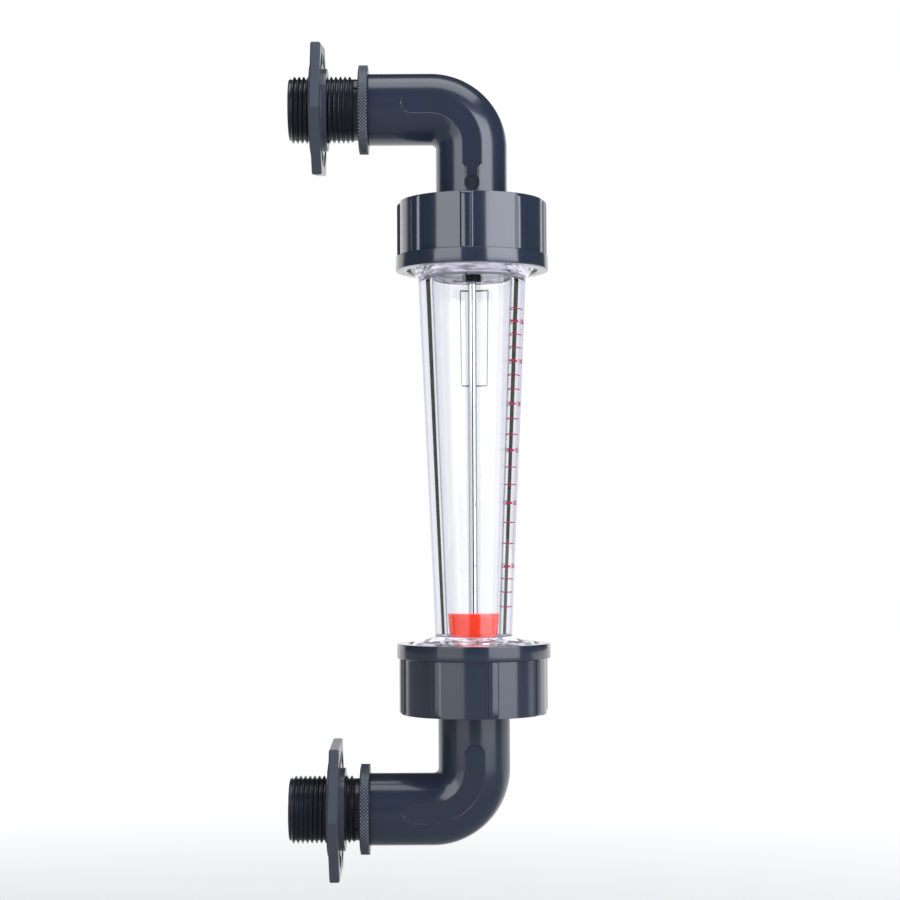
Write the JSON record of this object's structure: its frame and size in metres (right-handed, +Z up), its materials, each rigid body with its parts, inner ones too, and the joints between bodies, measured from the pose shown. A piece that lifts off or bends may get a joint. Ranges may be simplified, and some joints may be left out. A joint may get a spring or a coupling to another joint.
{
  "type": "rotameter",
  "caption": "Variable-area flow meter with a clear tapered tube, a float on a guide rod and threaded panel-mount elbows at both ends.",
  "frame": {"origin": "on the axis of the lower port, in the plane of its collar's panel-side face", "axes": "+Z up along the measuring tube, -X out of both ports toward the pipework, -Y toward the camera"},
  "size_m": [0.1298, 0.0766, 0.4184],
  "materials": {
    "elbow_upvc": "smooth moulded, soft gloss",
    "union_nut_upvc": "glossy moulded",
    "tailpiece_upvc": "turned, satin",
    "nipple_upvc": "moulded, satin",
    "locknut_plastic": "moulded, satin",
    "clear_tube": "clear, polished",
    "support_plastic": "moulded, satin",
    "rod_steel": "polished",
    "buffer_rubber": "matt",
    "seal_rubber": "matt",
    "float_plastic": "glossy"
  },
  "bodies": {
    "inlet": {"inlet_nipple": "nipple_upvc", "inlet_elbow": "elbow_upvc", "inlet_tailpiece": "tailpiece_upvc", "inlet_seal_ring": "seal_rubber"},
    "meter": {"measuring_tube": "clear_tube", "lower_rod_support": "support_plastic", "upper_rod_support": "support_plastic", "guide_rod": "rod_steel", "lower_rod_nut": "rod_steel", "upper_rod_nut": "rod_steel", "lower_stop_buffer": "buffer_rubber", "upper_stop_buffer": "buffer_rubber"},
    "float": {"float_body": "float_plastic"},
    "outlet": {"outlet_nipple": "nipple_upvc", "outlet_elbow": "elbow_upvc", "outlet_tailpiece": "tailpiece_upvc", "outlet_seal_ring": "seal_rubber"},
    "lower_nut": {"lower_union_nut": "union_nut_upvc"},
    "upper_nut": {"upper_union_nut": "union_nut_upvc"},
    "inlet_lock": {"inlet_locknut": "locknut_plastic"},
    "outlet_lock": {"outlet_locknut": "locknut_plastic"}
  },
  "joints": [
    {"name": "tube_swivel", "type": "hinge", "parent": "inlet", "child": "meter", "pos_m": [0.0565, 0, 0.06], "axis": [0, 0, 1], "continuous": true},
    {"name": "outlet_swivel", "type": "hinge", "parent": "meter", "child": "outlet", "pos_m": [0.0565, 0, 0.29], "axis": [0, 0, 1], "continuous": true},
    {"name": "lower_nut_turn", "type": "hinge", "parent": "meter", "child": "lower_nut", "pos_m": [0.0565, 0, 0.07], "axis": [0, 0, 1], "range_deg": [0, 1260]},
    {"name": "upper_nut_turn", "type": "hinge", "parent": "meter", "child": "upper_nut", "pos_m": [0.0565, 0, 0.28], "axis": [0, 0, -1], "range_deg": [0, 1260]},
    {"name": "float_slide", "type": "slide", "parent": "meter", "child": "float", "axis": [0, 0, 1], "range_m": [0, 0.166]},
    {"name": "inlet_locknut_travel", "type": "slide", "parent": "inlet", "child": "inlet_lock", "axis": [1, 0, 0], "range_m": [-0.0185, 0.0072]},
    {"name": "outlet_locknut_travel", "type": "slide", "parent": "outlet", "child": "outlet_lock", "axis": [1, 0, 0], "range_m": [-0.0105, 0.0155]}
  ]
}
